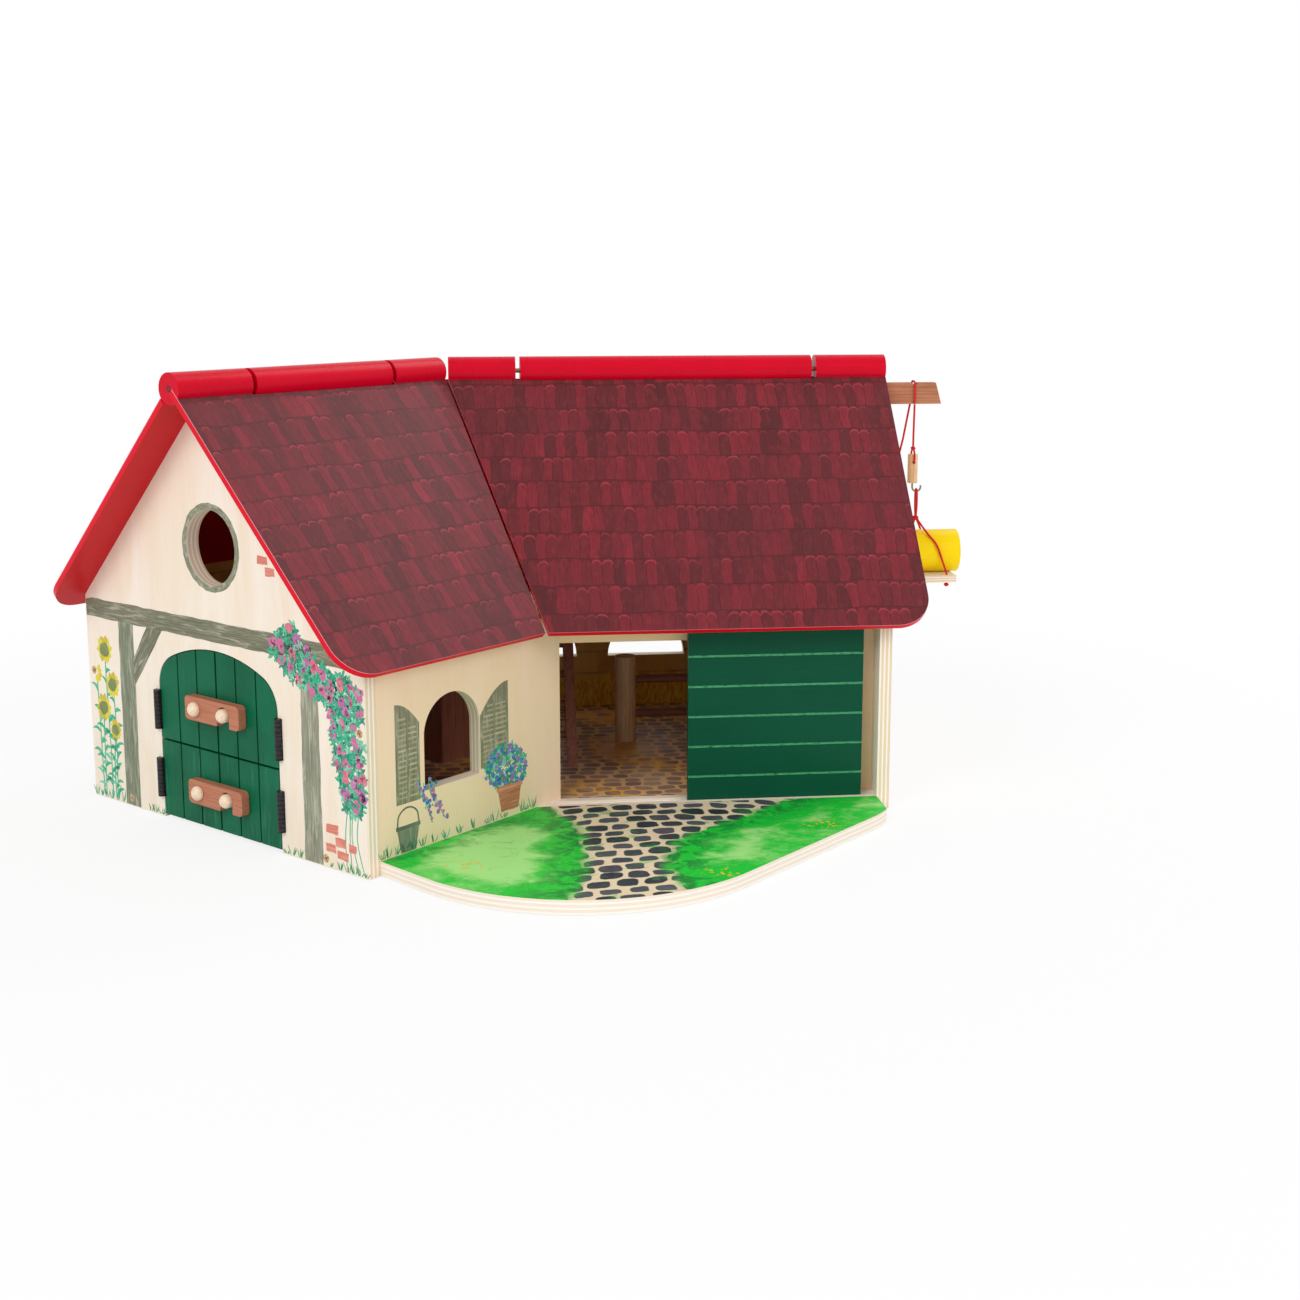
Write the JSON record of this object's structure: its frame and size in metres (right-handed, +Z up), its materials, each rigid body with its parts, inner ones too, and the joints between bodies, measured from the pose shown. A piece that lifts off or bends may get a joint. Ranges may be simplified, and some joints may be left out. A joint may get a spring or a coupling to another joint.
{
  "type": "toy barn",
  "caption": "Wooden toy barn with two angled wings, hinged roof panels, latched stable doors, a sliding door, a loft and a small hoist over a painted yard.",
  "frame": {"origin": "inner corner of the yard, where the planes of the two wings' yard fronts meet, at the height of the underside", "axes": "+Z up, +X along the right wing towards its end wall, +Y from its front to its back; the left wing's ridge is turned 45 degrees from X"},
  "size_m": [0.6067, 0.4421, 0.2835],
  "materials": {
    "birch": "clear-lacquered birch plywood",
    "printed_walls": "birch plywood with printed scenery",
    "printed_base": "birch plywood with printed lawn and cobbles",
    "leaf_green": "green satin paint",
    "slide_green": "dark green satin paint",
    "brown_stain": "brown stain, clear lacquer",
    "peg_beech": "turned beech, lacquered",
    "roof_print": "maroon shingle print, red painted edges",
    "ridge_red": "red gloss paint",
    "bale_yellow": "yellow satin paint",
    "hinge_black": "black lacquered steel",
    "steel": "plain steel",
    "red_cord": "red braided cord"
  },
  "bodies": {
    "barn": {"base_plate": "printed_base", "gable_wall": "printed_walls", "yard_wall": "printed_walls", "outer_wall": "printed_walls", "back_wall": "printed_walls", "end_wall": "printed_walls", "front_panel": "birch", "door_rail": "birch", "leaf_upper_right": "leaf_green", "leaf_lower_right": "leaf_green", "frame_hinge_halves": "hinge_black", "hinge_half_upper_right": "hinge_black", "hinge_half_lower_right": "hinge_black", "hinge_pins": "steel", "catch_peg_upper": "peg_beech", "catch_peg_lower": "peg_beech", "roof_left_outer": "roof_print", "roof_right_back": "roof_print", "left_middle_roll": "ridge_red", "right_middle_roll": "ridge_red", "ridge_pins": "steel", "loft_floor": "birch", "partition_cross": "brown_stain", "partition_long": "brown_stain", "ladder_stiles": "brown_stain", "ladder_rungs": "brown_stain", "stall_post": "birch", "stall_rails": "brown_stain", "hoist_beam": "brown_stain", "cleat_peg": "peg_beech", "tail_cord": "red_cord", "wall_screws": "steel"},
    "upper_leaf": {"leaf_upper_left": "leaf_green", "hinge_half_upper_left": "hinge_black", "pivot_peg_upper": "peg_beech"},
    "lower_leaf": {"leaf_lower_left": "leaf_green", "hinge_half_lower_left": "hinge_black", "pivot_peg_lower": "peg_beech"},
    "upper_latch": {"latch_bar_upper": "brown_stain"},
    "lower_latch": {"latch_bar_lower": "brown_stain"},
    "yard_door": {"sliding_door": "slide_green"},
    "left_roof": {"roof_left_yard": "roof_print", "left_end_rolls": "ridge_red"},
    "right_roof": {"roof_right_yard": "roof_print", "right_end_rolls": "ridge_red"},
    "hoist_load": {"lift_cord": "red_cord", "toggle": "peg_beech", "load_hook": "steel", "load_cords": "red_cord", "platform": "birch", "hay_bale": "bale_yellow"}
  },
  "joints": [
    {"name": "upper_leaf_hinge", "type": "hinge", "parent": "barn", "child": "upper_leaf", "pos_m": [-0.23511, 0.03387, 0.07], "axis": [0, 0, -1], "range_deg": [0, 110]},
    {"name": "lower_leaf_hinge", "type": "hinge", "parent": "barn", "child": "lower_leaf", "pos_m": [-0.23511, 0.03387, 0.026], "axis": [0, 0, -1], "range_deg": [0, 110]},
    {"name": "upper_latch_pivot", "type": "hinge", "parent": "upper_leaf", "child": "upper_latch", "pos_m": [-0.20499, 0.00078, 0.078], "axis": [-0.7071, -0.7071, 0], "range_deg": [0, 95]},
    {"name": "lower_latch_pivot", "type": "hinge", "parent": "lower_leaf", "child": "lower_latch", "pos_m": [-0.20499, 0.00078, 0.025], "axis": [-0.7071, -0.7071, 0], "range_deg": [0, 95]},
    {"name": "yard_door_slide", "type": "slide", "parent": "barn", "child": "yard_door", "axis": [-1, 0, 0], "range_m": [0, 0.084]},
    {"name": "left_roof_hinge", "type": "hinge", "parent": "barn", "child": "left_roof", "pos_m": [-0.09334, 0.09334, 0.274], "axis": [-0.7071, -0.7071, 0], "range_deg": [0, 240]},
    {"name": "right_roof_hinge", "type": "hinge", "parent": "barn", "child": "right_roof", "pos_m": [0.1, 0.132, 0.274], "axis": [-1, 0, 0], "range_deg": [0, 240]},
    {"name": "hoist_lift", "type": "slide", "parent": "barn", "child": "hoist_load", "axis": [0, 0, 1], "range_m": [0, 0.024], "deforming": ["lift_cord"]}
  ]
}
